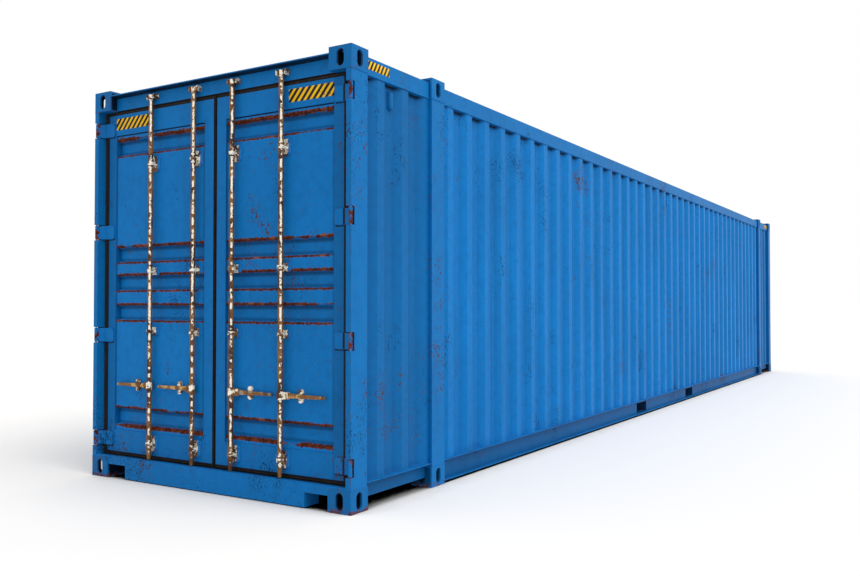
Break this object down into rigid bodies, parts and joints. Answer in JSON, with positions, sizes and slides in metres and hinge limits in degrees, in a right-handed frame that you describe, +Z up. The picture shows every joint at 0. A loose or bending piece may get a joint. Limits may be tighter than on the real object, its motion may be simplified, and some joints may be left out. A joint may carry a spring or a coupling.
{
  "type": "45 ft high-cube shipping container",
  "caption": "Blue rusty 45 ft high-cube shipping container with corrugated steel walls, two end doors, locking bars and hollow corner castings.",
  "frame": {"origin": "on the ground under the middle of the box", "axes": "+X along the length away from the doors, +Z up; the right door, seen from outside, is at -Y"},
  "size_m": [13.716, 2.438, 2.896],
  "materials": {
    "blue_paint": "painted blue, rust spots",
    "bar_metal": "galvanised, brown rust patches",
    "handle_metal": "bare, ochre rust",
    "seal_rubber": "matt",
    "floor_wood": "worn plywood",
    "pin_metal": "rusted"
  },
  "bodies": {
    "root": {"corner_castings": "blue_paint", "midway_castings": "blue_paint", "right_rear_post": "blue_paint", "left_rear_post": "blue_paint", "hinge_pins": "pin_metal", "front_corner_posts": "blue_paint", "midway_posts": "blue_paint", "right_top_rail": "blue_paint", "left_top_rail": "blue_paint", "right_bottom_rail": "blue_paint", "left_bottom_rail": "blue_paint", "right_side_wall": "blue_paint", "left_side_wall": "blue_paint", "front_wall": "blue_paint", "front_top_rail": "blue_paint", "front_sill": "blue_paint", "door_header": "blue_paint", "door_sill": "blue_paint", "roof_panel": "blue_paint", "floor_boards": "floor_wood", "cross_members": "blue_paint", "fork_pockets": "blue_paint", "ventilators": "blue_paint", "header_keepers": "bar_metal"},
    "right_door": {"right_door_stiles": "blue_paint", "right_door_rails": "blue_paint", "right_door_panel": "blue_paint", "right_door_seal": "seal_rubber", "right_hinge_blades": "blue_paint", "right_bar_guides": "blue_paint", "right_handle_rests": "handle_metal"},
    "left_door": {"left_door_stiles": "blue_paint", "left_door_rails": "blue_paint", "left_door_panel": "blue_paint", "left_door_seal": "seal_rubber", "left_hinge_blades": "blue_paint", "left_bar_guides": "blue_paint", "left_handle_rests": "handle_metal"},
    "right_inner_bar": {"right_inner_locking_bar": "bar_metal"},
    "right_inner_handle_body": {"right_inner_handle": "handle_metal"},
    "right_outer_bar": {"right_outer_locking_bar": "bar_metal"},
    "right_outer_handle_body": {"right_outer_handle": "handle_metal"},
    "left_inner_bar": {"left_inner_locking_bar": "bar_metal"},
    "left_inner_handle_body": {"left_inner_handle": "handle_metal"},
    "left_outer_bar": {"left_outer_locking_bar": "bar_metal"},
    "left_outer_handle_body": {"left_outer_handle": "handle_metal"}
  },
  "joints": [
    {"name": "right_door_hinge", "type": "hinge", "parent": "root", "child": "right_door", "pos_m": [-6.843, -1.204, 1.45], "axis": [0, 0, 1], "range_deg": [0, 265]},
    {"name": "left_door_hinge", "type": "hinge", "parent": "root", "child": "left_door", "pos_m": [-6.843, 1.204, 1.45], "axis": [0, 0, -1], "range_deg": [0, 265]},
    {"name": "right_inner_bar_turn", "type": "hinge", "parent": "right_door", "child": "right_inner_bar", "pos_m": [-6.828, -0.186, 1.5], "axis": [0, 0, 1], "range_deg": [-110, 0]},
    {"name": "right_inner_handle_lift", "type": "hinge", "parent": "right_inner_bar", "child": "right_inner_handle_body", "pos_m": [-6.8155, -0.232, 0.696], "axis": [-1, 0, 0], "range_deg": [0, 15]},
    {"name": "right_outer_bar_turn", "type": "hinge", "parent": "right_door", "child": "right_outer_bar", "pos_m": [-6.828, -0.62501, 1.5], "axis": [0, 0, 1], "range_deg": [-110, 0]},
    {"name": "right_outer_handle_lift", "type": "hinge", "parent": "right_outer_bar", "child": "right_outer_handle_body", "pos_m": [-6.8155, -0.67101, 0.696], "axis": [-1, 0, 0], "range_deg": [0, 15]},
    {"name": "left_inner_bar_turn", "type": "hinge", "parent": "left_door", "child": "left_inner_bar", "pos_m": [-6.828, 0.186, 1.5], "axis": [0, 0, -1], "range_deg": [-110, 0]},
    {"name": "left_inner_handle_lift", "type": "hinge", "parent": "left_inner_bar", "child": "left_inner_handle_body", "pos_m": [-6.8155, 0.232, 0.696], "axis": [1, 0, 0], "range_deg": [0, 15]},
    {"name": "left_outer_bar_turn", "type": "hinge", "parent": "left_door", "child": "left_outer_bar", "pos_m": [-6.828, 0.62501, 1.5], "axis": [0, 0, -1], "range_deg": [-110, 0]},
    {"name": "left_outer_handle_lift", "type": "hinge", "parent": "left_outer_bar", "child": "left_outer_handle_body", "pos_m": [-6.8155, 0.67101, 0.696], "axis": [1, 0, 0], "range_deg": [0, 15]}
  ]
}
